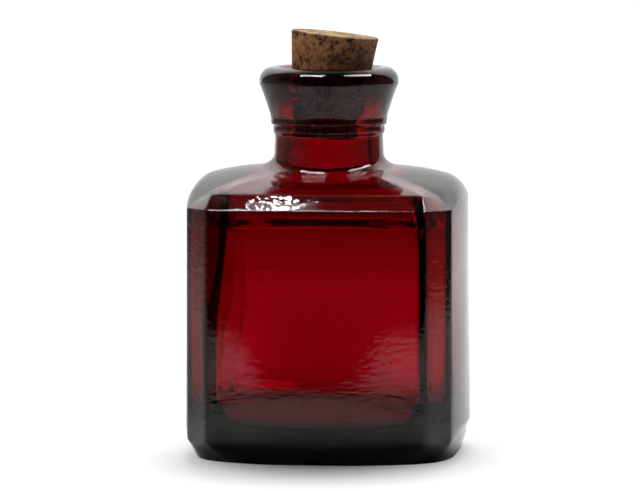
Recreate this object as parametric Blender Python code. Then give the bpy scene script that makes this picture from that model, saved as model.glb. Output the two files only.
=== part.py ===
"""Square glass bottle with chamfered corners, a round neck, a rolled lip and a tapered cork.

The bottle stands on its underside at the origin, +Z up. The flat front panel faces -Y and the flat
back panel +Y. The left and right walls are gently bowed, and run over into the shoulder without an
edge. The glass is one closed body, a stack of closed rings: up the outside, over the lip, down the
bore and round the hollow inside. The cork leans a little in the mouth.
"""

import math

import bmesh
import bpy
import numpy as np
from mathutils import Matrix

MM = 0.001

# Columns of points round the bottle: along a flat panel, a chamfer and a bowed side
PANEL_STEPS = 12
CHAMFER_STEPS = 2
SIDE_STEPS = 12
COLUMNS = 2 * PANEL_STEPS + 4 * CHAMFER_STEPS + 2 * SIDE_STEPS

# Outside of the body, seen from above: where the panels and the sides end at the chamfers
PANEL_HALF_WIDTH = 32.4 * MM
PANEL_DEPTH = 39.5 * MM
SIDE_HALF_LENGTH = 29.3 * MM
SIDE_WIDTH = 39.3 * MM
BOW_LOW = 2.9 * MM
BOW_HIGH = 1.9 * MM
BOW_BAND = 1.6 * MM

# The foot, an outline between an ellipse and a rectangle
FOOT_HALF_WIDTH = 38.7 * MM
FOOT_HALF_DEPTH = 36.5 * MM
FOOT_SQUARENESS = 3.2

# Heights of the body's edges, at the flat panels and at the middle of the bowed sides
PANEL_BOTTOM = 5.2 * MM
CHAMFER_BOTTOM = 6.6 * MM
BAND_TOP = 7.4 * MM
BOW_BOTTOM = 10.0 * MM
PANEL_TOP = 75.3 * MM
SIDE_TOP = 77.9 * MM

# How round the sides' upper edges are: 0 is a straight bevel, 1 is a full quarter round
SIDE_ROUNDNESS = 0.6

# The crease at the top of the bevels, where the shoulder begins
CREASE_HALF_WIDTH = 31.3 * MM
CREASE_DEPTH = 35.0 * MM
CREASE_SIDE_LENGTH = 24.6 * MM
CREASE_SIDE_WIDTH = 34.9 * MM
CREASE_PANEL_HEIGHT = 79.9 * MM
CREASE_CORNER_HEIGHT = 78.8 * MM
CREASE_SIDE_HEIGHT = 84.4 * MM

# Foot of the neck, which lies lower at the panels than at the sides
NECK_FOOT_RADIUS = 21.5 * MM
NECK_FOOT_PANEL_HEIGHT = 83.2 * MM
NECK_FOOT_SIDE_HEIGHT = 86.5 * MM
NECK_FILLET_HEIGHT = 3.5 * MM

# Neck, its two string rings and the flared collar, as radius and height
NECK_RADIUS = 16.4 * MM
NECK_PROFILE = [
    (16.4 * MM, 90.6 * MM),
    (16.2 * MM, 95.6 * MM),
    (16.75 * MM, 96.6 * MM),
    (16.8 * MM, 98.0 * MM),
    (16.5 * MM, 98.4 * MM),
    (17.4 * MM, 98.9 * MM),
    (17.45 * MM, 100.8 * MM),
    (17.6 * MM, 101.6 * MM),
    (18.6 * MM, 104.8 * MM),
    (19.7 * MM, 108.0 * MM),
]

# Rolled lip, a ring of round section
LIP_RING_RADIUS = 16.85 * MM
LIP_TUBE_RADIUS = 4.05 * MM
LIP_HEIGHT = 111.8 * MM
LIP_START, LIP_END = -26.0, 160.0
LIP_STEPS = 11

# Bore of the neck, down to where it opens into the body, as radius and height
BORE_PROFILE = [
    (12.35 * MM, 111.8 * MM),
    (12.8 * MM, 109.8 * MM),
    (14.3 * MM, 107.4 * MM),
    (14.2 * MM, 102.0 * MM),
    (12.4 * MM, 98.0 * MM),
    (11.8 * MM, 95.0 * MM),
    (11.8 * MM, 91.0 * MM),
]

# Hollow inside the body: half width, half depth, roundness, height at the panels and at the sides
HOLLOW_PROFILE = [
    (12.0 * MM, 12.0 * MM, 1.0, 86.0 * MM, 88.0 * MM),
    (13.3 * MM, 13.2 * MM, 1.0, 82.6 * MM, 85.2 * MM),
    (16.0 * MM, 15.8 * MM, 0.9, 80.2 * MM, 83.4 * MM),
    (22.0 * MM, 21.0 * MM, 0.6, 78.8 * MM, 82.6 * MM),
    (30.0 * MM, 28.0 * MM, 0.25, 77.2 * MM, 81.0 * MM),
    (34.6 * MM, 32.0 * MM, 0.08, 75.0 * MM, 78.4 * MM),
    (36.4 * MM, 33.6 * MM, 0.0, 72.0 * MM, 75.0 * MM),
    (37.2 * MM, 34.3 * MM, 0.0, 68.4 * MM, 71.0 * MM),
    (37.7 * MM, 34.9 * MM, 0.0, 62.4 * MM, 66.0 * MM),
    (38.0 * MM, 35.4 * MM, 0.0, 53.0 * MM, 57.0 * MM),
    (38.0 * MM, 35.4 * MM, 0.0, 22.0 * MM, 20.0 * MM),
    (37.6 * MM, 35.0 * MM, 0.0, 18.4 * MM, 18.4 * MM),
    (35.6 * MM, 33.0 * MM, 0.15, 15.0 * MM, 15.0 * MM),
    (33.4 * MM, 30.8 * MM, 0.35, 11.6 * MM, 11.6 * MM),
    (31.8 * MM, 29.2 * MM, 0.6, 10.4 * MM, 10.4 * MM),
    (28.0 * MM, 25.8 * MM, 0.8, 10.1 * MM, 10.1 * MM),
    (20.0 * MM, 18.5 * MM, 1.0, 10.0 * MM, 10.0 * MM),
]

# The hollow's flat stretches and bow, as shares of its half width and half depth
HOLLOW_PANEL = 0.795
HOLLOW_SIDE = 0.782
HOLLOW_BOW = 0.063

FLOOR_HEIGHT = 10.0 * MM

# Cork, a stopper that tapers towards its lower end and leans to the right
CORK_TOP_RADIUS = 13.1 * MM
CORK_BOTTOM_RADIUS = 9.6 * MM
CORK_LENGTH = 31.0 * MM
CORK_TOP_HEIGHT = 125.7 * MM
CORK_TOP_SHIFT = 1.8 * MM
CORK_LEAN = math.radians(6.0)
CORK_EDGE = 0.5 * MM
CORK_SIDES = 40

# One turn of the columns, from the left end of the front panel, anticlockwise from above
COLUMN = np.arange(COLUMNS)
BEARING = (COLUMN - PANEL_STEPS / 2) * 2 * math.pi / COLUMNS
AROUND = np.stack([np.sin(BEARING), -np.cos(BEARING)], axis=1)
TO_PANEL = np.cos(BEARING) ** 2


def edges():
    """Give for each column its edge of the outline and its place on it, from 0 to 1."""
    steps = [PANEL_STEPS, CHAMFER_STEPS, SIDE_STEPS, CHAMFER_STEPS] * 2
    edge = np.repeat(np.arange(len(steps)), steps)
    place = np.concatenate([np.arange(count) / count for count in steps])
    return edge, place


EDGE, PLACE = edges()
ON_PANEL = EDGE % 4 == 0
ON_SIDE = EDGE % 4 == 2

# 1 in the middle of its edge, falling to 0 at both ends as a parabola
MIDDLE = 1 - (2 * PLACE - 1) ** 2


def eight_sided(panel_half_width, panel_depth, side_half_length, side_width, bow=0.0):
    """Outline of the body from above: panels, chamfers and sides, the sides bowed outwards."""
    right = [
        (panel_half_width, -panel_depth),
        (side_width, -side_half_length),
        (side_width, side_half_length),
        (panel_half_width, panel_depth),
    ]
    ends = np.array(right + [(-x, y) for x, y in reversed(right)])
    start, end = np.roll(ends, 1, axis=0)[EDGE], ends[EDGE]
    outline = start + (end - start) * PLACE[:, None]
    outline[:, 0] += np.sign(outline[:, 0]) * bow * MIDDLE * ON_SIDE
    return outline


def rounded(half_width, half_depth, squareness):
    """Outline of a superellipse: an ellipse at a squareness of 2, nearer a rectangle above it."""
    reach = np.abs(AROUND / (half_width, half_depth)) ** squareness
    return AROUND * reach.sum(axis=1)[:, None] ** (-1 / squareness)


def hollow(half_width, half_depth, roundness):
    """Outline inside the body, between the eight-sided one of the walls and an ellipse."""
    bow = half_width * HOLLOW_BOW
    wall = (half_width * HOLLOW_PANEL, half_depth, half_depth * HOLLOW_SIDE, half_width - bow)
    outline = eight_sided(*wall, bow)
    return outline + (AROUND * (half_width, half_depth) - outline) * roundness


def by_edge(panel, corner, side):
    """A height that is level along the panels, and rises or falls along chamfers and sides."""
    chamfer_rise = np.where(EDGE % 4 == 1, PLACE, 1 - PLACE) * (EDGE % 2)
    height = panel + (corner - panel) * chamfer_rise
    return np.where(ON_SIDE, corner + (side - corner) * MIDDLE, height)


def ring(outline, height):
    """A closed ring of points from its outline and its height, one value or one for each column."""
    return np.column_stack([outline, np.broadcast_to(height, COLUMNS)])


def body_rings():
    """Rings up the outside of the body, from the foot to the crease below the shoulder."""
    foot = rounded(FOOT_HALF_WIDTH, FOOT_HALF_DEPTH, FOOT_SQUARENESS)
    wall = (PANEL_HALF_WIDTH, PANEL_DEPTH, SIDE_HALF_LENGTH, SIDE_WIDTH)
    crease = eight_sided(CREASE_HALF_WIDTH, CREASE_DEPTH, CREASE_SIDE_LENGTH, CREASE_SIDE_WIDTH)
    crease_height = by_edge(CREASE_PANEL_HEIGHT, CREASE_CORNER_HEIGHT, CREASE_SIDE_HEIGHT)

    # A panel's lower edge dips in the middle, and a side has a plain band below its bow
    band = eight_sided(*wall, BOW_BAND)
    band_height = by_edge(CHAMFER_BOTTOM, CHAMFER_BOTTOM, BAND_TOP)
    band_height -= (CHAMFER_BOTTOM - PANEL_BOTTOM) * MIDDLE * ON_PANEL
    low, high = eight_sided(*wall, BOW_LOW), eight_sided(*wall, BOW_HIGH)
    high_height = by_edge(PANEL_TOP, PANEL_TOP, SIDE_TOP)

    rings = [ring(foot, 0.0)]
    for share in (0.3, 0.65):
        # A quarter round at the sides, nearly straight at the panels and chamfers
        out = share + (math.sin(share * math.pi / 2) - share) * (0.25 + 0.75 * MIDDLE * ON_SIDE)
        rings.append(ring(foot + (band - foot) * out[:, None], band_height * share))
    rings += [ring(band, band_height), ring(low, BOW_BOTTOM), ring(high, high_height)]

    # Straight bevels over the panels and chamfers, a soft round over the middle of the sides
    roundness = SIDE_ROUNDNESS * np.minimum(1.0, 1.6 * MIDDLE) * ON_SIDE
    for share in (0.2, 0.4, 0.6, 0.8, 1.0):
        turn = share * math.pi / 2
        inwards = share + (1 - math.cos(turn) - share) * roundness
        upwards = share + (math.sin(turn) - share) * roundness
        outline = high + (crease - high) * inwards[:, None]
        rings.append(ring(outline, high_height + (crease_height - high_height) * upwards))
    return rings


def shoulder_rings(crease):
    """Rings from the crease over the low dome of the shoulder, and up the fillet of the neck."""
    foot = AROUND * NECK_FOOT_RADIUS
    foot_height = NECK_FOOT_SIDE_HEIGHT + (NECK_FOOT_PANEL_HEIGHT - NECK_FOOT_SIDE_HEIGHT) * TO_PANEL
    rings = []
    for share in (0.33, 0.67, 1.0):
        # The dome flattens towards the neck
        rise = 1 - (1 - share) ** 1.5
        outline = crease[:, :2] + (foot - crease[:, :2]) * share
        rings.append(ring(outline, crease[:, 2] + (foot_height - crease[:, 2]) * rise))
    for turn in np.radians([30.0, 60.0, 90.0]):
        radius = NECK_RADIUS + (NECK_FOOT_RADIUS - NECK_RADIUS) * (1 - math.sin(turn))
        rings.append(ring(AROUND * radius, foot_height + NECK_FILLET_HEIGHT * (1 - math.cos(turn))))
    return rings


def lip_rings():
    """Rings over the rolled lip, from below its outside over the top to the mouth of the bore."""
    rings = []
    for turn in np.radians(np.linspace(LIP_START, LIP_END, LIP_STEPS)):
        radius = LIP_RING_RADIUS + LIP_TUBE_RADIUS * math.cos(turn)
        rings.append(ring(AROUND * radius, LIP_HEIGHT + LIP_TUBE_RADIUS * math.sin(turn)))
    return rings


def hollow_rings():
    """Rings down the inside of the body, whose ceiling is lower at the panels than at the sides."""
    rings = []
    for half_width, half_depth, roundness, panel, side in HOLLOW_PROFILE:
        height = side + (panel - side) * TO_PANEL
        rings.append(ring(hollow(half_width, half_depth, roundness), height))
    return rings


def bottle_rings():
    """All the rings of the glass, in the order in which its surface runs."""
    rings = body_rings()
    rings += shoulder_rings(rings[-1])
    rings += [ring(AROUND * radius, height) for radius, height in NECK_PROFILE]
    rings += lip_rings()
    rings += [ring(AROUND * radius, height) for radius, height in BORE_PROFILE]
    return rings + hollow_rings()


def loft(rings, first_pole, last_pole):
    """Join rings of points into one closed bmesh, with a fan of triangles at each end."""
    mesh = bmesh.new()
    rows = [[mesh.verts.new(point) for point in points] for points in rings]
    for row, following in zip(rows, rows[1:]):
        for i in range(len(row)):
            j = (i + 1) % len(row)
            mesh.faces.new((row[i], row[j], following[j], following[i]))
    for row, pole, turned in ((rows[0], first_pole, True), (rows[-1], last_pole, False)):
        centre = mesh.verts.new(pole)
        for i in range(len(row)):
            j = (i + 1) % len(row)
            mesh.faces.new((centre, row[j], row[i]) if turned else (centre, row[i], row[j]))
    bmesh.ops.recalc_face_normals(mesh, faces=mesh.faces)
    return mesh


def glass():
    """Deep red glass."""
    material = bpy.data.materials.new("red_glass")
    material.use_nodes = True
    shader = material.node_tree.nodes["Principled BSDF"]
    shader.inputs["Base Color"].default_value = (0.28, 0.004, 0.008, 1.0)
    shader.inputs["Roughness"].default_value = 0.04
    shader.inputs["Metallic"].default_value = 0.0
    shader.inputs["IOR"].default_value = 1.5
    shader.inputs["Transmission Weight"].default_value = 0.8
    return material


def cork_bark():
    """Pale brown natural cork."""
    material = bpy.data.materials.new("natural_cork")
    material.use_nodes = True
    shader = material.node_tree.nodes["Principled BSDF"]
    shader.inputs["Base Color"].default_value = (0.42, 0.25, 0.13, 1.0)
    shader.inputs["Roughness"].default_value = 0.85
    shader.inputs["Metallic"].default_value = 0.0
    return material


def add_object(name, mesh, material):
    """Put a finished bmesh into the scene as a named object."""
    data = bpy.data.meshes.new(name)
    mesh.to_mesh(data)
    mesh.free()
    data.materials.append(material)
    data.shade_smooth()
    data.set_sharp_from_angle(angle=math.radians(25.0))
    placed = bpy.data.objects.new(name, data)
    bpy.context.scene.collection.objects.link(placed)
    return placed


def add_bottle():
    """The bottle in one piece of glass."""
    mesh = loft(bottle_rings(), (0.0, 0.0, 0.0), (0.0, 0.0, FLOOR_HEIGHT))
    return add_object("glass_bottle", mesh, glass())


def add_cork():
    """The cork: a tapered round stopper with slightly broken edges, leaning in the mouth."""
    mesh = bmesh.new()
    bmesh.ops.create_cone(
        mesh,
        cap_ends=True,
        segments=CORK_SIDES,
        radius1=CORK_BOTTOM_RADIUS,
        radius2=CORK_TOP_RADIUS,
        depth=CORK_LENGTH,
    )
    rims = [edge for edge in mesh.edges if abs(edge.verts[0].co.z - edge.verts[1].co.z) < CORK_EDGE]
    bmesh.ops.bevel(mesh, geom=rims, offset=CORK_EDGE, segments=1, affect="EDGES")
    bmesh.ops.translate(mesh, verts=mesh.verts, vec=(0.0, 0.0, -CORK_LENGTH / 2))
    placed = add_object("cork", mesh, cork_bark())
    top = Matrix.Translation((CORK_TOP_SHIFT, 0.0, CORK_TOP_HEIGHT))
    placed.matrix_world = top @ Matrix.Rotation(CORK_LEAN, 4, "Y")
    return placed


def main():
    for old in list(bpy.data.objects):
        bpy.data.objects.remove(old)
    add_bottle()
    add_cork()


main()
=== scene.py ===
"""Looks of a square red glass bottle with a tapered cork, laid out as a Blender add-on.

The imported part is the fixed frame. Two pieces are built round it: the glass, one closed surface that
runs up the outside, over the lip and down the inside, and the cork with its pores. The glass takes
its colour from what its volume absorbs, so thin walls glow and thick corners go dark.
"""

import math

import bpy
import numpy as np
from bpy.props import FloatProperty, FloatVectorProperty, IntProperty, PointerProperty
from bpy.types import Operator, Panel, PropertyGroup
from mathutils import Matrix, Vector


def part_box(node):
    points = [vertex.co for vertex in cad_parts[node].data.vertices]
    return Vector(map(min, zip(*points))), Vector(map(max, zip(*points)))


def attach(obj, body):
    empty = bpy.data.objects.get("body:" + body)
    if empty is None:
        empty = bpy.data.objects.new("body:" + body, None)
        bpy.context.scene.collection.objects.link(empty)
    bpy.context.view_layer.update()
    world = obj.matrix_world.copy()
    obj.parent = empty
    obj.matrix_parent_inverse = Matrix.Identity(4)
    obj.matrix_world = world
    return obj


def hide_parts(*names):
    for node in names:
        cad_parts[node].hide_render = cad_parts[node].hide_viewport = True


bl_info = {
    "name": "Square glass bottle",
    "version": (1, 0, 0),
    "blender": (4, 5, 0),
    "location": "3D View > Sidebar > Bottle",
    "description": "A square red glass bottle with a cork, on a plain pale floor",
    "category": "Add Mesh",
}

MM = 0.001

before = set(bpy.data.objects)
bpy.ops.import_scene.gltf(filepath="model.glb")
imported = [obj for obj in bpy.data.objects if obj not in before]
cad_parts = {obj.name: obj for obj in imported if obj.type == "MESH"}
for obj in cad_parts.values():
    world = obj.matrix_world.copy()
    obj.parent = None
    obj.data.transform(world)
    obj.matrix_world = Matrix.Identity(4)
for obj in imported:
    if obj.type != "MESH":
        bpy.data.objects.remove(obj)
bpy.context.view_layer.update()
GLASS_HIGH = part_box("glass_bottle")[1]

# Places along the outline are counted in steps: 12 on a flat panel or a bowed side, 2 on a chamfer
PANEL_STEPS = 12
CHAMFER_STEPS = 2
EDGE_STEPS = np.array([PANEL_STEPS, CHAMFER_STEPS, PANEL_STEPS, CHAMFER_STEPS] * 2)
EDGE_STARTS = np.concatenate([[0], np.cumsum(EDGE_STEPS)])
TURN_STEPS = EDGE_STARTS[-1]

# Outside of the body, seen from above
PANEL_DEPTH = GLASS_HIGH.y
PANEL_HALF_WIDTH = 32.4 * MM
SIDE_HALF_LENGTH = 29.3 * MM
BOW_LOW = 2.9 * MM
BOW_HIGH = 1.9 * MM
BOW_BAND = 1.6 * MM
SIDE_WIDTH = GLASS_HIGH.x - BOW_LOW

# The foot, an outline between an ellipse and a rectangle
FOOT_HALF_WIDTH = 38.7 * MM
FOOT_HALF_DEPTH = 36.5 * MM
FOOT_SQUARENESS = 3.2

# Heights of the body's edges, at the flat panels and at the middle of the bowed sides
PANEL_BOTTOM = 5.2 * MM
CHAMFER_BOTTOM = 6.6 * MM
BAND_TOP = 7.4 * MM
BOW_BOTTOM = 10.0 * MM
PANEL_TOP = 75.3 * MM
SIDE_TOP = 77.9 * MM

# How round the body's lower edge is off the middle of the sides, where it is a full quarter round
FOOT_ROUNDNESS = 0.25

# How round the sides' upper edges are: 0 is a straight bevel, 1 is a full quarter round. The second
# number says how soon the roundness is full, from a side's ends to its middle
SIDE_ROUNDNESS = 0.6
SIDE_ROUNDNESS_GAIN = 1.6

# The crease at the top of the bevels, where the shoulder begins
CREASE_HALF_WIDTH = 31.3 * MM
CREASE_DEPTH = 35.0 * MM
CREASE_SIDE_LENGTH = 24.6 * MM
CREASE_SIDE_WIDTH = 34.9 * MM
CREASE_PANEL_HEIGHT = 79.9 * MM
CREASE_CORNER_HEIGHT = 78.8 * MM
CREASE_SIDE_HEIGHT = 84.4 * MM

# Foot of the neck, which lies lower at the panels than at the sides
NECK_FOOT_RADIUS = 21.5 * MM
NECK_FOOT_PANEL_HEIGHT = 83.2 * MM
NECK_FOOT_SIDE_HEIGHT = 86.5 * MM
NECK_FILLET_HEIGHT = 3.5 * MM
NECK_RADIUS = 16.4 * MM

# How the shoulder levels out towards the neck: the power of what is left to the neck
SHOULDER_POWER = 1.5

# Neck, its two string rings and the flared collar, as radius and height
NECK_PROFILE = [
    (16.4 * MM, 90.6 * MM),
    (16.2 * MM, 95.6 * MM),
    (16.75 * MM, 96.6 * MM),
    (16.8 * MM, 98.0 * MM),
    (16.5 * MM, 98.4 * MM),
    (17.4 * MM, 98.9 * MM),
    (17.45 * MM, 100.8 * MM),
    (17.6 * MM, 101.6 * MM),
    (18.6 * MM, 104.8 * MM),
    (19.7 * MM, 108.0 * MM),
]

# Rolled lip, a ring of round section
LIP_TUBE_RADIUS = 4.05 * MM
LIP_RING_RADIUS = 16.85 * MM
LIP_HEIGHT = 111.8 * MM
LIP_START, LIP_END = -26.0, 160.0
LIP_STEPS = 26

# Bore of the neck, down to where it opens into the body, as radius and height
BORE_PROFILE = [
    (12.35 * MM, 111.8 * MM),
    (12.8 * MM, 109.8 * MM),
    (14.3 * MM, 107.4 * MM),
    (14.2 * MM, 102.0 * MM),
    (12.4 * MM, 98.0 * MM),
    (11.8 * MM, 95.0 * MM),
    (11.8 * MM, 91.0 * MM),
]

# Hollow inside the body: half width, half depth, roundness, height at the panels and at the sides
HOLLOW_PROFILE = [
    (12.0 * MM, 12.0 * MM, 1.0, 86.0 * MM, 88.0 * MM),
    (13.3 * MM, 13.2 * MM, 1.0, 82.6 * MM, 85.2 * MM),
    (16.0 * MM, 15.8 * MM, 0.9, 80.2 * MM, 83.4 * MM),
    (22.0 * MM, 21.0 * MM, 0.6, 78.8 * MM, 82.6 * MM),
    (30.0 * MM, 28.0 * MM, 0.25, 77.2 * MM, 81.0 * MM),
    (34.6 * MM, 32.0 * MM, 0.08, 75.0 * MM, 78.4 * MM),
    (36.4 * MM, 33.6 * MM, 0.0, 72.0 * MM, 75.0 * MM),
    (37.2 * MM, 34.3 * MM, 0.0, 68.4 * MM, 71.0 * MM),
    (37.7 * MM, 34.9 * MM, 0.0, 62.4 * MM, 66.0 * MM),
    (38.0 * MM, 35.4 * MM, 0.0, 53.0 * MM, 57.0 * MM),
    (38.0 * MM, 35.4 * MM, 0.0, 22.0 * MM, 20.0 * MM),
    (37.6 * MM, 35.0 * MM, 0.0, 18.4 * MM, 18.4 * MM),
    (35.6 * MM, 33.0 * MM, 0.15, 15.0 * MM, 15.0 * MM),
    (33.4 * MM, 30.8 * MM, 0.35, 11.6 * MM, 11.6 * MM),
    (31.8 * MM, 29.2 * MM, 0.6, 10.4 * MM, 10.4 * MM),
    (28.0 * MM, 25.8 * MM, 0.8, 10.1 * MM, 10.1 * MM),
    (20.0 * MM, 18.5 * MM, 1.0, 10.0 * MM, 10.0 * MM),
]

# The hollow's flat stretches and bow, as shares of its half width and half depth
HOLLOW_PANEL = 0.795
HOLLOW_SIDE = 0.782
HOLLOW_BOW = 0.063

HOLLOW_FLOOR_HEIGHT = 10.0 * MM

# How far each stretch of the profile is softened, as a share of the edge softness
SOFT_FOOT = 0.2
SOFT_BAND = 0.45
SOFT_BOW = 0.8
SOFT_BEVEL_EDGE = 0.3
SOFT_BEVEL = 0.8
SOFT_SHOULDER = 0.5
SOFT_FILLET = 0.4
SOFT_NECK = 0.25
SOFT_BORE = 0.5
SOFT_HOLLOW_FLOOR = 0.6

# Samples over which an edge is averaged, from one end of its stretch to the other
SOFTENING = np.linspace(-1.0, 1.0, 8)

# Rings up each curve of the profile, and the share at which the last ring ends before a pole
FOOT_STEPS = 9
BEVEL_STEPS = 13
SHOULDER_STEPS = 11
FILLET_STEPS = 9
POLE_SHARE = 0.02

# Spacing of the grid: at an edge, its growth away from it, and the widest. Columns are in steps
COLUMN_SPACING = (0.05, 0.28, 0.36)
ROW_SPACING = (0.38 * MM, 0.28, 2.4 * MM)
SPACING_SAMPLES = 20001

# Over how much of the profile, up to the lip's top, what is done to the outside fades out
LIP_FADE = 4.0 * MM

# The panels' hollowed lower corners: from where to where a panel leans in across, down and on the
# way out from the middle, and its mean lean
LEAN_MIDDLE = -2.0 * MM
LEAN_ACROSS = (11.0 * MM, 25.0 * MM)
LEAN_DOWN = (48.0 * MM, 20.0 * MM)
LEAN_OUT = (24.0 * MM, 36.0 * MM)
LEAN_SLOPE = math.tan(math.radians(2.0))

# Uneven walls, on the inside only. The left front corner is thicker near the top. A place or a reach
# is seen from above, a shift is what the inside moves by, and heights are where it comes and goes
CORNER_PLACE = (-30.5 * MM, -35.4 * MM)
CORNER_REACH = 8.0 * MM
CORNER_SHIFT = (2.2 * MM, 1.2 * MM)
CORNER_HEIGHTS = (34.0 * MM, 68.0 * MM, 76.0 * MM, 84.0 * MM)

# The front chamfers are thicker: the left one more so in its upper half, the right one only a little
CHAMFER_PLACE = (34.0 * MM, -31.0 * MM)
CHAMFER_REACH = 7.0 * MM
CHAMFER_SHIFT = (2.0 * MM, 1.4 * MM)
CHAMFER_HEIGHTS = (13.0 * MM, 22.0 * MM, 76.0 * MM, 84.0 * MM)
LEFT_CHAMFER_GAIN = 0.7
LEFT_CHAMFER_RISE = (42.0 * MM, 62.0 * MM)
RIGHT_CHAMFER_SHARE = 0.2

# The front wall is thicker under the bevel
TOP_SHIFT = 2.3 * MM
TOP_HEIGHTS = (69.0 * MM, 73.5 * MM, 76.0 * MM, 79.0 * MM)
TOP_DEPTHS = (-22.0 * MM, -30.0 * MM)

# The front wall is thinner at its foot: the shift is forwards and down
FOOT_SHIFT = (-1.7 * MM, -1.1 * MM)
FOOT_HEIGHTS = (18.0 * MM, 12.5 * MM)
FOOT_DEPTHS = (-20.0 * MM, -29.0 * MM)

# Mould ripples: where they grow across a panel, fade towards its foot and set in on the bevels
RIPPLES_ACROSS = (4.0 * MM, 26.0 * MM)
RIPPLES_FOOT = (22.0 * MM, 8.0 * MM)
RIPPLES_BEVEL = (PANEL_TOP - 3.0 * MM, PANEL_TOP + 1.0 * MM)

# Strength of the ripples in a panel's middle and on the bevels, and what they lose at the foot
RIPPLES_MIDDLE_STRENGTH = 0.25
RIPPLES_BEVEL_STRENGTH = 0.8
RIPPLES_FOOT_LOSS = 0.7

# Cork, a stopper that tapers towards its lower end and leans to the right
CORK_TOP_RADIUS = 13.1 * MM
CORK_BOTTOM_RADIUS = 9.6 * MM
CORK_LENGTH = 31.0 * MM
CORK_RIM = 0.6 * MM
CORK_TOP_HEIGHT = 125.7 * MM
CORK_TOP_SHIFT = 1.8 * MM
CORK_LEAN = math.radians(6.0)

# Columns round the cork, and rings over its top, each rim, its side and its bottom
CORK_COLUMNS = 220
CORK_TOP_STEPS = 22
CORK_RIM_STEPS = 5
CORK_SIDE_STEPS = 110
CORK_BOTTOM_STEPS = 14

# Pores: their half length, whose draw is raised to a power, their half width, tilt and strength
PORE_LENGTH = (0.3, 1.4)
PORE_LENGTH_POWER = 1.7
PORE_WIDTH = (0.14, 0.36)
PORE_TILT = 0.6
PORE_STRENGTH = (0.4, 1.0)

# Pattern of the cork: how fine grain and blotches are, at which values of their noise a blotch or a
# speck starts and is full, how dark it is, and the depth of the grain
GRAIN_SCALE = 700.0
GRAIN_DEPTH = 0.3 * MM
SPECK_NOISE = (0.52, 0.34)
SPECK_DARKNESS = 0.9
BLOTCH_SCALE = 170.0
BLOTCH_NOISE = (0.48, 0.66)
BLOTCH_DARKNESS = 0.6

# Floor: its reach to the left and right, to the front and to the back
FLOOR_LEFT = -0.620
FLOOR_RIGHT = 0.500
FLOOR_FRONT = -0.233
FLOOR_BACK = 1.200

# Painted shade: the floor's white near the bottle and the darker white painted far behind it, and over
# which distance the one turns into the other
PAINTED_FLOOR_SHADES = (0.82, 0.7)
FLOOR_FAR = (0.5, 0.95)

# Painted shade: the line across the floor, on which the sides are painted darker, and for the left and
# the right: from where to where, and the painted shade that is left
FLOOR_ACROSS = (1.0, 0.105, 0.0)
PAINTED_FLOOR_SIDES = ((-0.07, -0.2, 0.58), (0.07, 0.2, 0.8))

# Where the floor turns to pure white for the eye: from and to a distance, measured as an oval
PURE_WHITE_REACH = (22.0 * MM, 112.0 * MM)
PURE_WHITE_OVAL = (1.5, 1.0, 1.0)
PURE_WHITE = 1.1

# Wall behind the bottle: brightness, as the sine of the height angle and a share of the most
WALL_BRIGHTNESS = [
    (0.0, 0.42),
    (0.17, 0.42),
    (0.30, 0.48),
    (0.53, 0.68),
    (0.67, 0.85),
    (0.80, 0.50),
    (0.90, 0.25),
    (0.96, 0.11),
    (1.0, 0.03),
]

# Its ends to the left and right, as the share of a direction that points back, and how much wider
# it is higher up
WALL_ENDS = (0.70, 0.82)
WALL_WIDENING = 0.3

# The dim room: its brightness from left to right, and its fading towards the front and upwards
ROOM_SIDES = (-0.9, 0.9, 0.22, 0.09)
ROOM_FRONT = (-0.97, 0.0, 0.05)
ROOM_ABOVE = (0.0, 0.3, 0.0, -0.6)

# Lamps overhead: the middles of their two short ends, and their width and brightness
LAMPS = {
    "lamp_middle": ((-0.0560, -0.0865, 0.530), (-0.0675, -0.0835, 0.530), 0.006, 150.0),
    "lamp_left": ((-0.030, -0.215, 0.562), (-0.280, -0.135, 0.562), 0.140, 12.0),
    "lamp_right": ((0.190, -0.155, 0.562), (0.420, 0.100, 0.562), 0.140, 10.0),
}
LAMP_AIM = (0.0, 0.0, 0.1)

# Watts of a lamp for each square metre and unit of brightness
LAMP_POWER = 4

# Soft lights that no mirror shows: place, what they are turned to, size and power
SOFT_LIGHTS = {
    "window": ((0.0, 1.1, 1.1), (0.0, -0.6, 0.0), 0.6, 22.0),
    "fill": ((-1.3, -0.85, 0.4), (0.0, 0.0, 0.11), 0.6, 5.5),
}

# What the camera looks at: how far to the right of the bottle's axis, and how high
CAMERA_AIM_ACROSS = -2.7 * MM
CAMERA_AIM_HEIGHT = 62.1 * MM


class BottleSettings(PropertyGroup):
    """Sizes and glass of the bottle."""

    corner_softness: FloatProperty(
        name="Corner softness",
        description="How far the rounding of an upright corner reaches to each side",
        default=1.1 * MM,
        min=0.0,
        unit="LENGTH",
    )
    edge_softness: FloatProperty(
        name="Edge softness",
        description="How far the rounding of a bevel's edge reaches to each side",
        default=1.0 * MM,
        min=0.0,
        unit="LENGTH",
    )
    absorption_colour: FloatVectorProperty(
        name="Absorption colour",
        description="What the glass lets through of red, green and blue",
        default=(0.81, 0.0, 0.31),
        subtype="COLOR",
        min=0.0,
        max=1.0,
    )
    absorption_density: FloatProperty(
        name="Absorption density",
        description="How strongly each metre of glass absorbs the rest",
        default=1000.0,
        min=0.0,
    )
    pebble_size: FloatProperty(
        name="Pebble size",
        description="Length of one ripple of the surface that the mould leaves",
        default=2.0 * MM,
        min=0.1 * MM,
        unit="LENGTH",
    )
    pebble_depth: FloatProperty(
        name="Pebble depth",
        description="Depth of the ripples that the mould leaves",
        default=0.05 * MM,
        min=0.0,
        unit="LENGTH",
    )


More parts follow.
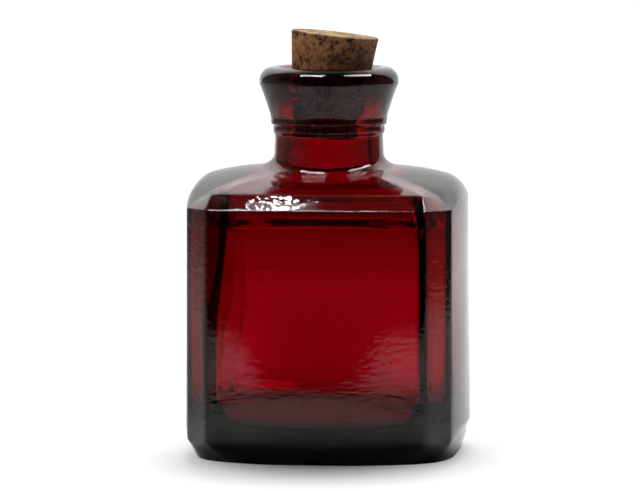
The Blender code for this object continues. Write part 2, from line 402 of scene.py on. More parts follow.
class CorkSettings(PropertyGroup):
    """Colours and pores of the cork."""

    bark: FloatVectorProperty(
        name="Bark",
        description="Main colour of the cork's side",
        default=(0.56, 0.235, 0.08),
        subtype="COLOR",
        min=0.0,
        max=1.0,
    )
    pale_ends: FloatVectorProperty(
        name="Pale ends",
        description="Paler colour of the cork's ends",
        default=(0.68, 0.42, 0.20),
        subtype="COLOR",
        min=0.0,
        max=1.0,
    )
    pore: FloatVectorProperty(
        name="Pore",
        description="Dark colour of the pores",
        default=(0.060, 0.018, 0.006),
        subtype="COLOR",
        min=0.0,
        max=1.0,
    )
    pore_count: IntProperty(
        name="Pores",
        description="Number of large pores on the side",
        default=420,
        min=0,
    )
    pore_depth: FloatProperty(
        name="Pore depth",
        description="Depth of the deepest pores",
        default=0.45 * MM,
        min=0.0,
        unit="LENGTH",
    )


class StageSettings(PropertyGroup):
    """Floor, light and camera."""

    distance: FloatProperty(
        name="Camera distance",
        description="Level distance from the camera to the bottle's axis",
        default=1800.0 * MM,
        unit="LENGTH",
    )
    height: FloatProperty(
        name="Camera height",
        description="Height of the camera above the floor",
        default=215.0 * MM,
        unit="LENGTH",
    )
    yaw: FloatProperty(
        name="Camera yaw",
        description="How far the camera stands to the right of the front panel's middle",
        default=math.radians(6.0),
        subtype="ANGLE",
        unit="ROTATION",
    )
    lens: FloatProperty(
        name="Lens",
        description="Focal length on a sensor 36 mm wide",
        default=338.7,
        unit="CAMERA",
    )
    backdrop_light: FloatProperty(
        name="Backdrop light",
        description="Brightness of the brightest part of the white wall behind the bottle",
        default=1.95,
    )
    lamp_brightness: FloatProperty(
        name="Lamp brightness",
        description="Factor on the brightness of the lamps overhead",
        default=1.0,
    )


# ---------------------------------------------------------------- glass


def edge_and_place(steps):
    """Give the edge that each count of steps round the outline lies on, and its place on it."""
    steps = np.mod(steps, TURN_STEPS)
    edge = np.searchsorted(EDGE_STARTS, steps, side="right") - 1
    return edge, (steps - EDGE_STARTS[edge]) / EDGE_STEPS[edge]


class Outline:
    """Outlines of the body at given counts of steps round it, with what they are worked out from."""

    def __init__(self, steps):
        self.edge, self.place = edge_and_place(steps)
        self.on_panel = self.edge % 4 == 0
        self.on_side = self.edge % 4 == 2
        self.middle = 1 - (2 * self.place - 1) ** 2
        bearing = (steps - PANEL_STEPS / 2) * 2 * math.pi / TURN_STEPS
        self.around = np.stack([np.sin(bearing), -np.cos(bearing)], axis=1)
        self.to_panel = np.cos(bearing) ** 2

    def eight_sided(self, panel_half_width, panel_depth, side_half_length, side_width, bow=0.0):
        """Panels, chamfers and sides: straight between corners, the sides plus a parabola."""
        right = [
            (panel_half_width, -panel_depth),
            (side_width, -side_half_length),
            (side_width, side_half_length),
            (panel_half_width, panel_depth),
        ]
        ends = np.array(right + [(-x, y) for x, y in reversed(right)])
        start, end = np.roll(ends, 1, axis=0)[self.edge], ends[self.edge]
        outline = start + (end - start) * self.place[:, None]
        outline[:, 0] += np.sign(outline[:, 0]) * bow * self.middle * self.on_side
        return outline

    def rounded(self, half_width, half_depth, squareness):
        """A superellipse: the sum of the two reaches, each to the power of squareness, is one."""
        reach = np.abs(self.around / (half_width, half_depth)) ** squareness
        return self.around * reach.sum(axis=1)[:, None] ** (-1 / squareness)

    def hollow(self, half_width, half_depth, roundness):
        """Inside of the body: an eight-sided outline, moved by roundness towards an ellipse."""
        bow = half_width * HOLLOW_BOW
        wall = (half_width * HOLLOW_PANEL, half_depth, half_depth * HOLLOW_SIDE, half_width - bow)
        outline = self.eight_sided(*wall, bow)
        return outline + (self.around * (half_width, half_depth) - outline) * roundness

    def by_edge(self, panel, corner, side):
        """A height, level along the panels, straight along chamfers, a parabola along sides."""
        share = np.where(self.edge % 4 == 1, self.place, 1 - self.place) * (self.edge % 2)
        height = panel + (corner - panel) * share
        return np.where(self.on_side, corner + (side - corner) * self.middle, height)

    def ring(self, outline, height):
        """A ring of points from its outline and its height, one value or one for each point."""
        return np.column_stack([outline, np.broadcast_to(height, len(self.edge))])

    def circle(self, radius, height):
        """A round ring: the directions from the axis times the radius."""
        return self.ring(self.around * radius, height)


def underside_rings(o, softness):
    """Rings over the flat underside, from near its centre to the foot's edge."""
    foot = o.rounded(FOOT_HALF_WIDTH, FOOT_HALF_DEPTH, FOOT_SQUARENESS)
    return [(o.ring(foot * share, 0.0), SOFT_FOOT * softness) for share in (POLE_SHARE, 0.5, 1.0)]


def body_rings(o, softness):
    """Rings up the outside. The lower edge and the bevel are each a blend of a straight line and a
    quarter ellipse, and the wall between them is straight."""
    foot = o.rounded(FOOT_HALF_WIDTH, FOOT_HALF_DEPTH, FOOT_SQUARENESS)
    wall = (PANEL_HALF_WIDTH, PANEL_DEPTH, SIDE_HALF_LENGTH, SIDE_WIDTH)
    crease = o.eight_sided(CREASE_HALF_WIDTH, CREASE_DEPTH, CREASE_SIDE_LENGTH, CREASE_SIDE_WIDTH)
    crease_height = o.by_edge(CREASE_PANEL_HEIGHT, CREASE_CORNER_HEIGHT, CREASE_SIDE_HEIGHT)
    band = o.eight_sided(*wall, BOW_BAND)
    band_height = o.by_edge(CHAMFER_BOTTOM, CHAMFER_BOTTOM, BAND_TOP)
    band_height -= (CHAMFER_BOTTOM - PANEL_BOTTOM) * o.middle * o.on_panel
    low, high = o.eight_sided(*wall, BOW_LOW), o.eight_sided(*wall, BOW_HIGH)
    high_height = o.by_edge(PANEL_TOP, PANEL_TOP, SIDE_TOP)

    rings = []
    roundness = FOOT_ROUNDNESS + (1 - FOOT_ROUNDNESS) * o.middle * o.on_side
    for share in np.linspace(0.0, 1.0, FOOT_STEPS)[1:-1]:
        out = share + (math.sin(share * math.pi / 2) - share) * roundness
        outline = foot + (band - foot) * out[:, None]
        rings.append((o.ring(outline, band_height * share), SOFT_FOOT * softness))
    rings += [
        (o.ring(band, band_height), SOFT_BAND * softness),
        (o.ring(low, BOW_BOTTOM), SOFT_BOW * softness),
        (o.ring(high, high_height), SOFT_BEVEL_EDGE * softness),
    ]
    roundness = SIDE_ROUNDNESS * np.minimum(1.0, SIDE_ROUNDNESS_GAIN * o.middle) * o.on_side
    for share in np.linspace(0.0, 1.0, BEVEL_STEPS)[1:]:
        turn = share * math.pi / 2
        inwards = share + (1 - math.cos(turn) - share) * roundness
        upwards = share + (math.sin(turn) - share) * roundness
        outline = high + (crease - high) * inwards[:, None]
        height = high_height + (crease_height - high_height) * upwards
        rings.append((o.ring(outline, height), SOFT_BEVEL * softness))
    return rings


def shoulder_rings(o, crease, softness):
    """Rings over the shoulder, which rises as one less a power of what is left to the neck, and up
    the neck's fillet, a quarter ellipse."""
    foot = o.around * NECK_FOOT_RADIUS
    drop = NECK_FOOT_PANEL_HEIGHT - NECK_FOOT_SIDE_HEIGHT
    foot_height = NECK_FOOT_SIDE_HEIGHT + drop * o.to_panel
    rings = []
    for share in np.linspace(0.0, 1.0, SHOULDER_STEPS)[1:]:
        rise = 1 - (1 - share) ** SHOULDER_POWER
        outline = crease[:, :2] + (foot - crease[:, :2]) * share
        height = crease[:, 2] + (foot_height - crease[:, 2]) * rise
        rings.append((o.ring(outline, height), SOFT_SHOULDER * softness))
    for turn in np.linspace(0.0, math.pi / 2, FILLET_STEPS)[1:]:
        radius = NECK_RADIUS + (NECK_FOOT_RADIUS - NECK_RADIUS) * (1 - math.sin(turn))
        height = foot_height + NECK_FILLET_HEIGHT * (1 - math.cos(turn))
        rings.append((o.circle(radius, height), SOFT_FILLET * softness))
    return rings


def neck_rings(o, softness):
    """Rings up the neck, round the lip as part of a circle, and down the bore."""
    rings = [(o.circle(radius, height), SOFT_NECK * softness) for radius, height in NECK_PROFILE]
    for turn in np.radians(np.linspace(LIP_START, LIP_END, LIP_STEPS)):
        radius = LIP_RING_RADIUS + LIP_TUBE_RADIUS * math.cos(turn)
        height = LIP_HEIGHT + LIP_TUBE_RADIUS * math.sin(turn)
        rings.append((o.circle(radius, height), SOFT_NECK * softness))
    rings += [(o.circle(radius, height), SOFT_BORE * softness) for radius, height in BORE_PROFILE]
    return rings


def hollow_rings(o, softness):
    """Rings down the inside of the body, then shrinking to the centre of its floor."""
    rings = []
    for half_width, half_depth, roundness, panel, side in HOLLOW_PROFILE:
        height = side + (panel - side) * o.to_panel
        rings.append((o.ring(o.hollow(half_width, half_depth, roundness), height), softness))
    last = rings[-1][0]
    for share in (0.5, POLE_SHARE):
        height = HOLLOW_FLOOR_HEIGHT + (last[:, 2] - HOLLOW_FLOOR_HEIGHT) * share ** 2
        rings.append((o.ring(last[:, :2] * share, height), SOFT_HOLLOW_FLOOR * softness))
    return rings


def spread(marks, finest, growth, widest):
    """Places from the first mark to the last, close together at each mark and wider away from it:
    their spacing is the finest one plus growth times the distance to the nearest mark."""
    fine = np.linspace(marks[0], marks[-1], SPACING_SAMPLES)
    nearest = np.abs(fine[:, None] - np.asarray(marks)[None, :]).min(axis=1)
    spacing = np.minimum(finest + growth * nearest, widest)
    count = np.concatenate([[0], np.cumsum(np.diff(fine) / spacing[1:])])
    whole = np.linspace(0.0, count[-1], int(round(count[-1])) + 1)
    return np.interp(whole, count, fine)


def along(rings, marks, places):
    """Points at places along the stack of rings, straight between neighbouring rings."""
    below = np.clip(np.searchsorted(marks, places, side="right") - 1, 0, len(marks) - 2)
    share = (places - marks[below]) / (marks[below + 1] - marks[below])
    share = np.clip(share, 0.0, 1.0)[:, None, None]
    return rings[below] * (1 - share) + rings[below + 1] * share


def glass_grid(corner_softness, softness):
    """Grid of points of the glass, rings by columns. Each point is the mean of the sharp shape over
    a short stretch to both sides, along the outline and along the profile, which turns every edge
    into a parabolic arc."""
    panel_step = 2 * PANEL_HALF_WIDTH / PANEL_STEPS
    columns = spread(EDGE_STARTS, *COLUMN_SPACING)[:-1]
    steps = (columns[:, None] + SOFTENING * corner_softness / panel_step).ravel()
    o = Outline(steps)
    rings = underside_rings(o, softness) + body_rings(o, softness)
    rings += shoulder_rings(o, rings[-1][0], softness)
    lip_top = len(rings) + len(NECK_PROFILE) + LIP_STEPS // 2
    rings += neck_rings(o, softness) + hollow_rings(o, softness)
    points = np.array([ring for ring, _ in rings])
    reach = np.array([distance for _, distance in rings])

    gaps = np.linalg.norm(np.diff(points, axis=0), axis=2).mean(axis=1)
    marks = np.concatenate([[0], np.cumsum(gaps)])
    reach = np.minimum(reach, 0.5 * np.minimum(np.append(gaps, gaps[-1]), np.append(gaps[0], gaps)))
    places = spread(marks, *ROW_SPACING)
    local = np.interp(places, marks, reach)
    grid = sum(along(points, marks, places + shift * local) for shift in SOFTENING) / len(SOFTENING)
    grid = grid.reshape(len(places), len(columns), len(SOFTENING), 3).mean(axis=2)
    outside = np.clip((marks[lip_top] - places) / LIP_FADE, 0.0, 1.0)[:, None]
    lean_in(grid, outside)
    uneven_walls(grid, 1 - outside)
    return grid, outside * ripple_strength(grid)


def smooth(values, start, end):
    """A smooth step from 0 at start to 1 at end: three times the square less twice the cube."""
    share = np.clip((values - start) / (end - start), 0.0, 1.0)
    return share ** 2 * (3 - 2 * share)


def zone(values, rise_start, rise_end, fall_start, fall_end):
    """A smooth step up times a smooth step down: 1 between them and 0 beyond."""
    return smooth(values, rise_start, rise_end) * smooth(values, fall_end, fall_start)


def lean_in(grid, outside):
    """Press the panels in by a smooth step across times a smooth step down, at most a millimetre."""
    x, y, z = np.moveaxis(grid, 2, 0)
    across = smooth(np.abs(x - LEAN_MIDDLE), *LEAN_ACROSS)
    down = (LEAN_DOWN[0] - LEAN_DOWN[1]) * smooth(z, *LEAN_DOWN)
    on_panel = smooth(np.abs(y), *LEAN_OUT)
    y -= np.sign(y) * LEAN_SLOPE * across * down * on_panel * outside


def uneven_walls(grid, inside):
    """Move the inside at the left front corner, the front chamfers, the front wall's top and its
    foot. Each shift is fullest in one place and fades by smooth steps with distance and height."""
    x, y, z = np.moveaxis(grid, 2, 0)
    corner = smooth(np.hypot(x - CORNER_PLACE[0], y - CORNER_PLACE[1]), CORNER_REACH, 0.0)
    corner *= zone(z, *CORNER_HEIGHTS) * inside
    away = np.hypot(np.abs(x) - CHAMFER_PLACE[0], y - CHAMFER_PLACE[1])
    left = 1.0 + LEFT_CHAMFER_GAIN * smooth(z, *LEFT_CHAMFER_RISE)
    chamfer = smooth(away, CHAMFER_REACH, 0.0) * (zone(z, *CHAMFER_HEIGHTS) * inside)
    chamfer *= np.where(x < 0, left, RIGHT_CHAMFER_SHARE)

    y += TOP_SHIFT * zone(z, *TOP_HEIGHTS) * smooth(y, *TOP_DEPTHS) * inside
    x -= np.sign(x) * CHAMFER_SHIFT[0] * chamfer
    y += CHAMFER_SHIFT[1] * chamfer
    foot = smooth(z, *FOOT_HEIGHTS) * smooth(y, *FOOT_DEPTHS)
    x += CORNER_SHIFT[0] * corner
    y += CORNER_SHIFT[1] * corner + FOOT_SHIFT[0] * foot * inside
    z += FOOT_SHIFT[1] * foot * inside


def ripple_strength(grid):
    """Strength of the mould's ripples, weak in the middle of the panels and strong on the bevels."""
    x, _, z = np.moveaxis(grid, 2, 0)
    edge = smooth(np.abs(x - LEAN_MIDDLE), *RIPPLES_ACROSS)
    bevel = smooth(z, *RIPPLES_BEVEL)
    low = 1 - RIPPLES_FOOT_LOSS * smooth(z, *RIPPLES_FOOT)
    panel = RIPPLES_MIDDLE_STRENGTH + (1 - RIPPLES_MIDDLE_STRENGTH) * edge
    return np.maximum(panel * low, RIPPLES_BEVEL_STRENGTH * bevel)


def closed_mesh(name, grid):
    """A closed mesh from a grid of rings by columns, with a fan of triangles at each end."""
    rings, columns = grid.shape[:2]
    poles = np.array([grid[0].mean(axis=0), grid[-1].mean(axis=0)])
    points = np.concatenate([grid.reshape(-1, 3), poles])
    i = np.arange(columns)
    j = (i + 1) % columns
    row = np.arange(rings - 1)[:, None] * columns
    quads = np.stack([row + i, row + j, row + columns + j, row + columns + i], axis=2).reshape(-1, 4)
    first, last = rings * columns, rings * columns + 1
    top = (rings - 1) * columns
    fans = np.concatenate([
        np.stack([np.full(columns, first), j, i], axis=1),
        np.stack([np.full(columns, last), top + i, top + j], axis=1),
    ])
    mesh = bpy.data.meshes.new(name)
    mesh.from_pydata(points.tolist(), [], quads.tolist() + fans.tolist())
    mesh.shade_smooth()
    mesh.update()
    return mesh


def add_piece(name, mesh, material, node):
    """Put a finished mesh into the scene as the piece that stands for a node of the frame."""
    mesh.materials.append(material)
    piece = bpy.data.objects.new(name, mesh)
    bpy.context.scene.collection.objects.link(piece)
    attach(piece, "root")
    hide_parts(node)
    return piece


# ---------------------------------------------------------------- materials


def set_inputs(node, inputs):
    """Give a node's inputs their values. Another node's output is linked instead."""
    for name, value in inputs.items():
        if isinstance(value, bpy.types.NodeSocket):
            node.id_data.links.new(value, node.inputs[name])
        else:
            node.inputs[name].default_value = value


def add_node(tree, kind, inputs=None, **settings):
    """A new node of a tree, with its settings and its inputs."""
    node = tree.nodes.new(kind)
    for name, value in settings.items():
        setattr(node, name, value)
    set_inputs(node, inputs or {})
    return node


def attribute(tree, name):
    """Output of a node that reads one of the piece's own attributes."""
    return add_node(tree, "ShaderNodeAttribute", attribute_name=name).outputs["Fac"]


def number(tree, operation, *values, **settings):
    """Output of a Math node that works on plain values and on other nodes' outputs."""
    inputs = dict(enumerate(values))
    return add_node(tree, "ShaderNodeMath", inputs, operation=operation, **settings).outputs["Value"]


def vector(tree, operation, *values):
    """A Vector Math node that works on plain values and on other nodes' outputs."""
    return add_node(tree, "ShaderNodeVectorMath", dict(enumerate(values)), operation=operation)


def ramp(tree, value, start, end, low=0.0, high=1.0, **settings):
    """Output that runs from low, where the value is start, to high, where it is end."""
    inputs = {"Value": value, "From Min": start, "From Max": end, "To Min": low, "To Max": high}
    return add_node(tree, "ShaderNodeMapRange", inputs, **settings).outputs["Result"]


def smooth_ramp(tree, value, start, end, low=0.0, high=1.0):
    """A ramp whose ends are level, three times the square less twice the cube."""
    return ramp(tree, value, start, end, low, high, interpolation_type="SMOOTHSTEP")


def mix_colour(tree, share, first, second):
    """Output between two colours."""
    inputs = {"Factor": share, "A": first, "B": second}
    return add_node(tree, "ShaderNodeMix", inputs, data_type="RGBA").outputs["Result"]


def new_material(name):
    """A new material, its node tree, its shader and the place on the piece in Object coordinates."""
    material = bpy.data.materials.new(name)
    material.use_nodes = True
    tree = material.node_tree
    place = add_node(tree, "ShaderNodeTexCoord").outputs["Object"]
    return material, tree, tree.nodes["Principled BSDF"], place


def ripple_group():
    """Shader node group: height of the fine ripples that a mould leaves on pressed glass."""
    group = bpy.data.node_groups.new("Mould ripples", "ShaderNodeTree")
    face = group.interface
    face.new_socket(name="Vector", in_out="INPUT", socket_type="NodeSocketVector")
    scale = face.new_socket(name="Ripples per metre", in_out="INPUT", socket_type="NodeSocketFloat")
    scale.default_value = 600.0
    face.new_socket(name="Height", in_out="OUTPUT", socket_type="NodeSocketFloat")

    given = add_node(group, "NodeGroupInput")
    flat = vector(group, "MULTIPLY", given.outputs["Vector"], (1.0, 1.0, 2.0))
    ripples = add_node(group, "ShaderNodeTexNoise", {
        "Vector": flat.outputs["Vector"],
        "Scale": given.outputs["Ripples per metre"],
        "Detail": 1.0,
        "Roughness": 0.4,
        "Distortion": 0.3,
    })
    add_node(group, "NodeGroupOutput", {"Height": ripples.outputs["Fac"]})
    return group


def red_glass(settings):
    """Clear red glass: what it absorbs gives the colour, and mould ripples break its reflections."""
    material, tree, shader, place = new_material("red_glass")
    inputs = {"Vector": place, "Ripples per metre": 1.0 / settings.pebble_size}
    ripples = add_node(tree, "ShaderNodeGroup", inputs, node_tree=ripple_group())
    bump = add_node(tree, "ShaderNodeBump", {
        "Strength": attribute(tree, "ripples"),
        "Distance": settings.pebble_depth,
        "Height": ripples.outputs["Height"],
    })
    set_inputs(shader, {
        "Base Color": (1.0, 1.0, 1.0, 1.0),
        "Roughness": 0.0,
        "Metallic": 0.0,
        "IOR": 1.5,
        "Transmission Weight": 1.0,
        "Normal": bump.outputs["Normal"],
    })
    volume = add_node(tree, "ShaderNodeVolumeAbsorption", {
        "Color": (*settings.absorption_colour, 1.0),
        "Density": settings.absorption_density,
    })
    set_inputs(tree.nodes["Material Output"], {"Volume": volume.outputs["Volume"]})
    return material


def natural_cork(settings):
    """Natural cork: a bark with brown blotches, dark specks and pores, paler at both ends."""
    material, tree, shader, place = new_material("natural_cork")
    inputs = {"Vector": place, "Scale": GRAIN_SCALE, "Detail": 4.0, "Roughness": 0.65}
    grain = add_node(tree, "ShaderNodeTexNoise", inputs).outputs["Fac"]
    inputs = {"Vector": place, "Scale": BLOTCH_SCALE, "Detail": 2.0}
    blotches = add_node(tree, "ShaderNodeTexNoise", inputs).outputs["Fac"]

    tones = [(*colour, 1.0) for colour in (settings.bark, settings.pale_ends, settings.pore)]
    tone = mix_colour(tree, attribute(tree, "ends"), tones[0], tones[1])
    blotch = ramp(tree, blotches, *BLOTCH_NOISE, 0.0, BLOTCH_DARKNESS)
    stains = number(tree, "ADD", blotch, attribute(tree, "pores"))
    speck = ramp(tree, grain, *SPECK_NOISE)
    dark = number(tree, "MULTIPLY_ADD", speck, SPECK_DARKNESS, stains, use_clamp=True)
    inputs = {"Strength": 0.6, "Distance": GRAIN_DEPTH, "Height": grain}
    bump = add_node(tree, "ShaderNodeBump", inputs)
    set_inputs(shader, {
        "Base Color": mix_colour(tree, dark, tone, tones[2]),
        "Roughness": 0.85,
        "Metallic": 0.0,
        "Normal": bump.outputs["Normal"],
    })
    return material


def pale_floor():
    """Plain matt white, with painted shade that makes it a little darker far back and to both sides.
    It turns to pure white for the eye, but not for what it lights or what mirrors it, with the
    distance from the bottle."""
    material, tree, shader, place = new_material("pale_floor")
    part = add_node(tree, "ShaderNodeSeparateXYZ", {"Vector": place})
    # Painted shade on the floor's white: darker far behind the bottle, then darker towards both sides
    shade = smooth_ramp(tree, part.outputs["Y"], *FLOOR_FAR, *PAINTED_FLOOR_SHADES)
    beside = vector(tree, "DOT_PRODUCT", place, FLOOR_ACROSS).outputs["Value"]
    for start, end, least in PAINTED_FLOOR_SIDES:
        shade = number(tree, "MULTIPLY", shade, smooth_ramp(tree, beside, start, end, 1.0, least))
    set_inputs(shader, {"Base Color": shade, "Roughness": 0.9, "Specular IOR Level": 0.1})

    oval = vector(tree, "MULTIPLY", place, PURE_WHITE_OVAL)
    distance = vector(tree, "LENGTH", oval.outputs["Vector"]).outputs["Value"]
    away = smooth_ramp(tree, distance, *PURE_WHITE_REACH)
    path = add_node(tree, "ShaderNodeLightPath")
    inputs = {"Color": (1.0, 1.0, 1.0, 1.0), "Strength": PURE_WHITE}
    white = add_node(tree, "ShaderNodeEmission", inputs)
    either = add_node(tree, "ShaderNodeMixShader", {
        "Fac": number(tree, "MULTIPLY", away, path.outputs["Is Camera Ray"]),
        1: shader.outputs["BSDF"],
        2: white.outputs["Emission"],
    })
    set_inputs(tree.nodes["Material Output"], {"Surface": either.outputs["Shader"]})
    return material


# ---------------------------------------------------------------- cork


def cork_grid(settings):
    """Grid of points of the cork and, for each point, how deep it lies in a pore and whether it is
    on an end. A straight taper with softened rims, lowered by a bell curve at each pore."""
    rim = CORK_RIM
    angle = np.linspace(0.0, 2 * math.pi, CORK_COLUMNS, endpoint=False)
    turns = np.linspace(0.0, math.pi / 2, CORK_RIM_STEPS)
    high = CORK_TOP_RADIUS - rim
    outwards = np.linspace(POLE_SHARE, 1.0, CORK_TOP_STEPS)
    profile = [(high * share, 0.0) for share in outwards[:-1]]
    profile += [(high + rim * math.sin(t), rim * math.cos(t) - rim) for t in turns]
    down = np.linspace(rim, CORK_LENGTH - rim, CORK_SIDE_STEPS)[1:-1]
    taper = (CORK_TOP_RADIUS - CORK_BOTTOM_RADIUS) / CORK_LENGTH
    profile += [(CORK_TOP_RADIUS - taper * depth, -depth) for depth in down]
    low = CORK_BOTTOM_RADIUS - rim
    profile += [(low + rim * math.cos(t), rim - CORK_LENGTH - rim * math.sin(t)) for t in turns]
    inwards = np.linspace(1.0, POLE_SHARE, CORK_BOTTOM_STEPS)
    profile += [(low * share, -CORK_LENGTH) for share in inwards[1:]]
    radius, height = np.array(profile).T

    # Pores on the side: ovals of random size, turned a little, in unrolled coordinates
    draw = np.random.default_rng(7)
    count = settings.pore_count
    pore_angle = draw.uniform(0.0, 2 * math.pi, count)
    pore_down = draw.uniform(0.0, CORK_LENGTH, count)
    length = draw.uniform(*PORE_LENGTH, count) ** PORE_LENGTH_POWER * MM
    width = draw.uniform(*PORE_WIDTH, count) * MM
    tilt = draw.normal(0.0, PORE_TILT, count)
    strength = draw.uniform(*PORE_STRENGTH, count)
    across = (angle[:, None] - pore_angle + math.pi) % (2 * math.pi) - math.pi
    pores = np.zeros((len(profile), CORK_COLUMNS))
    for i in range(len(profile)):
        right = across * radius[i]
        below = -height[i] - pore_down
        a = right * np.cos(tilt) + below * np.sin(tilt)
        b = below * np.cos(tilt) - right * np.sin(tilt)
        bell = np.exp(-((a / width) ** 2) - (b / length) ** 2) * strength
        pores[i] = bell.max(axis=1)
    on_end = np.where((height > -0.5 * rim) | (height < 0.5 * rim - CORK_LENGTH), 1.0, 0.0)
    pores *= (1 - on_end)[:, None]
    lowered = radius[:, None] - settings.pore_depth * pores
    grid = np.stack([
        lowered * np.cos(angle),
        lowered * np.sin(angle),
        np.broadcast_to(height[:, None], lowered.shape),
    ], axis=2)
    return grid, pores, np.broadcast_to(on_end[:, None], pores.shape)


def stand_in_mouth(points):
    """The cork's points, turned about Y by its lean and moved up to its top's place."""
    c, s = math.cos(CORK_LEAN), math.sin(CORK_LEAN)
    turn = np.array([[c, 0.0, s], [0.0, 1.0, 0.0], [-s, 0.0, c]])
    return points @ turn.T + np.array([CORK_TOP_SHIFT, 0.0, CORK_TOP_HEIGHT])


def set_values(mesh, name, values):
    """Store one number for each point of the mesh. A pole gets the mean of the ring next to it."""
    stored = mesh.attributes.new(name, "FLOAT", "POINT")
    poles = [values[0].mean(), values[-1].mean()]
    stored.data.foreach_set("value", np.concatenate([values.ravel(), poles]).astype(np.float32))


# ---------------------------------------------------------------- operators


class BOTTLE_OT_glass(Operator):
    """Build the glass of the bottle in the place of the plain solid"""

    bl_idname = "bottle.glass"
    bl_label = "Glass bottle"

    def execute(self, context):
        settings = context.scene.bottle_settings
        grid, ripples = glass_grid(settings.corner_softness, settings.edge_softness)
        mesh = closed_mesh("bottle", grid)
        set_values(mesh, "ripples", ripples)
        add_piece("bottle", mesh, red_glass(settings), "glass_bottle")
        return {"FINISHED"}


class BOTTLE_OT_cork(Operator):
    """Build the cork in the place of the plain solid"""

    bl_idname = "bottle.cork"
    bl_label = "Cork"

    def execute(self, context):
        settings = context.scene.cork_settings
        grid, pores, ends = cork_grid(settings)
        mesh = closed_mesh("stopper", stand_in_mouth(grid[::-1]))
        set_values(mesh, "pores", pores[::-1])
        set_values(mesh, "ends", ends[::-1])
        add_piece("stopper", mesh, natural_cork(settings), "cork")
        return {"FINISHED"}


class BOTTLE_OT_stage(Operator):
    """Build the floor, the light and the camera"""

    bl_idname = "bottle.stage"
    bl_label = "Stage"

    def execute(self, context):
        settings = context.scene.stage_settings
        add_floor()
        add_backdrop_light(settings)
        add_lights(settings)
        add_camera(settings)
        context.scene.view_settings.view_transform = "Standard"
        return {"FINISHED"}


# ---------------------------------------------------------------- stage


def add_floor():
    """A flat white sheet under the bottle."""
    mesh = bpy.data.meshes.new("floor")
    left, right, front, back = FLOOR_LEFT, FLOOR_RIGHT, FLOOR_FRONT, FLOOR_BACK
    corners = [(left, front, 0), (right, front, 0), (right, back, 0), (left, back, 0)]
    mesh.from_pydata(corners, [], [(0, 1, 2, 3)])
    mesh.materials.append(pale_floor())
    floor = bpy.data.objects.new("floor", mesh)
    bpy.context.scene.collection.objects.link(floor)


def add_backdrop_light(settings):
    """World light: a white wall behind the bottle, brightest half way up, and a dim room. The eye
    sees plain white instead."""
    world = bpy.data.worlds.new("studio")
    bpy.context.scene.world = world
    world.use_nodes = True
    tree = world.node_tree
    tree.nodes.clear()
    way = add_node(tree, "ShaderNodeTexCoord").outputs["Generated"]
    part = add_node(tree, "ShaderNodeSeparateXYZ", {"Vector": way})
    level = vector(tree, "MULTIPLY", way, (1.0, 1.0, 0.0))
    bearing = vector(tree, "NORMALIZE", level.outputs["Vector"])
    back = add_node(tree, "ShaderNodeSeparateXYZ", {"Vector": bearing.outputs["Vector"]})

    wider = number(tree, "MULTIPLY_ADD", part.outputs["Z"], WALL_WIDENING, back.outputs["Y"])
    behind = smooth_ramp(tree, wider, *WALL_ENDS)
    up = add_node(tree, "ShaderNodeFloatCurve", {"Value": part.outputs["Z"]})
    curve = up.mapping.curves[0]
    curve.points[0].location = WALL_BRIGHTNESS[0]
    curve.points[1].location = WALL_BRIGHTNESS[-1]
    for place, share in WALL_BRIGHTNESS[1:-1]:
        curve.points.new(place, share)
    up.mapping.update()
    wall = number(tree, "MULTIPLY", behind, up.outputs["Value"])

    side = ramp(tree, back.outputs["X"], *ROOM_SIDES)
    above = ramp(tree, part.outputs["Z"], *ROOM_ABOVE)
    ahead = ramp(tree, number(tree, "ADD", part.outputs["Y"], above), *ROOM_FRONT)
    room = number(tree, "MULTIPLY", side, ahead)
    light = number(tree, "MULTIPLY_ADD", wall, settings.backdrop_light, room)

    white = (1.0, 1.0, 1.0, 1.0)
    around = add_node(tree, "ShaderNodeBackground", {"Color": white, "Strength": light})
    seen = add_node(tree, "ShaderNodeBackground", {"Color": white, "Strength": PURE_WHITE})
    path = add_node(tree, "ShaderNodeLightPath")
    either = add_node(tree, "ShaderNodeMixShader", {
        "Fac": path.outputs["Is Camera Ray"],
        1: around.outputs["Background"],
        2: seen.outputs["Background"],
    })
    add_node(tree, "ShaderNodeOutputWorld", {"Surface": either.outputs["Shader"]})


def add_light(name, place, aim, size, power, along=None):
    """A rectangular light turned to its aim. With along given, its length runs that way."""
    light = bpy.data.lights.new(name, "AREA")
    light.shape = "RECTANGLE"
    light.size, light.size_y = size
    light.energy = power
    lamp = bpy.data.objects.new(name, light)
    back = (Vector(place) - Vector(aim)).normalized()
    right = (along or Vector((0.0, 1.0, 0.0)).cross(back)).normalized()
    up = back.cross(right).normalized()
    right = up.cross(back)
    lamp.matrix_world = Matrix((right, up, back)).transposed().to_4x4()
    lamp.location = place
    bpy.context.scene.collection.objects.link(lamp)
    return lamp


def add_lights(settings):
    """Three lamps overhead, which the glass mirrors, and two soft lights, which it doesn't."""
    for name, (start, end, width, brightness) in LAMPS.items():
        along = Vector(end) - Vector(start)
        size = (along.length, width)
        power = settings.lamp_brightness * brightness * size[0] * size[1] * LAMP_POWER
        middle = (Vector(start) + Vector(end)) / 2
        lamp = add_light(name, middle, LAMP_AIM, size, power, along)
        lamp.visible_diffuse = False
        lamp.visible_camera = False
    for name, (place, aim, size, power) in SOFT_LIGHTS.items():
        lamp = add_light(name, place, aim, (size, size), power)
        lamp.visible_glossy = False
        lamp.visible_transmission = False
        lamp.visible_camera = False


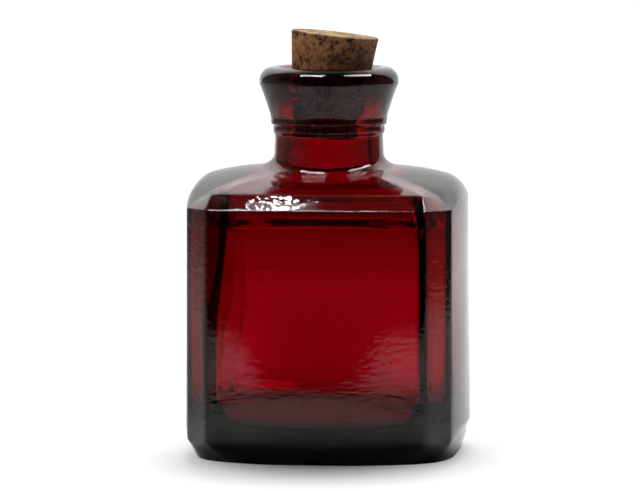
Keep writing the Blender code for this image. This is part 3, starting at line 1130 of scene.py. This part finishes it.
def add_camera(settings):
    """The camera at its distance, height and yaw. It looks at a place a little left of the axis."""
    data = bpy.data.cameras.new("camera")
    data.lens = settings.lens
    data.sensor_width = 36.0
    data.clip_start, data.clip_end = 0.1, 20.0
    camera = bpy.data.objects.new("camera", data)
    across = Vector((math.cos(settings.yaw), math.sin(settings.yaw), 0.0))
    away = Vector((math.sin(settings.yaw), -math.cos(settings.yaw), 0.0))
    aim = across * CAMERA_AIM_ACROSS + Vector((0.0, 0.0, CAMERA_AIM_HEIGHT))
    camera.location = away * settings.distance + across * CAMERA_AIM_ACROSS
    camera.location.z = settings.height
    camera.rotation_euler = (aim - camera.location).to_track_quat("-Z", "Y").to_euler()
    bpy.context.scene.collection.objects.link(camera)
    bpy.context.scene.camera = camera


# ---------------------------------------------------------------- add-on


class BOTTLE_PT_sidebar(Panel):
    """Buttons and settings of the bottle"""

    bl_label = "Square glass bottle"
    bl_idname = "BOTTLE_PT_sidebar"
    bl_space_type = "VIEW_3D"
    bl_region_type = "UI"
    bl_category = "Bottle"

    def draw(self, context):
        for operator, group in STEPS:
            self.layout.operator(operator)
            settings = getattr(context.scene, group)
            for name in settings.bl_rna.properties.keys():
                if name not in ("rna_type", "name"):
                    self.layout.prop(settings, name)


STEPS = [
    ("bottle.glass", "bottle_settings"),
    ("bottle.cork", "cork_settings"),
    ("bottle.stage", "stage_settings"),
]
SETTINGS = [BottleSettings, CorkSettings, StageSettings]
CLASSES = SETTINGS + [BOTTLE_OT_glass, BOTTLE_OT_cork, BOTTLE_OT_stage, BOTTLE_PT_sidebar]


def register():
    for cls in CLASSES:
        bpy.utils.register_class(cls)
    for (_, name), group in zip(STEPS, SETTINGS):
        setattr(bpy.types.Scene, name, PointerProperty(type=group))


def unregister():
    for _, name in STEPS:
        delattr(bpy.types.Scene, name)
    for cls in reversed(CLASSES):
        bpy.utils.unregister_class(cls)


def main():
    register()
    bpy.ops.bottle.glass()
    bpy.ops.bottle.cork()
    bpy.ops.bottle.stage()


if __name__ == "__main__":
    main()
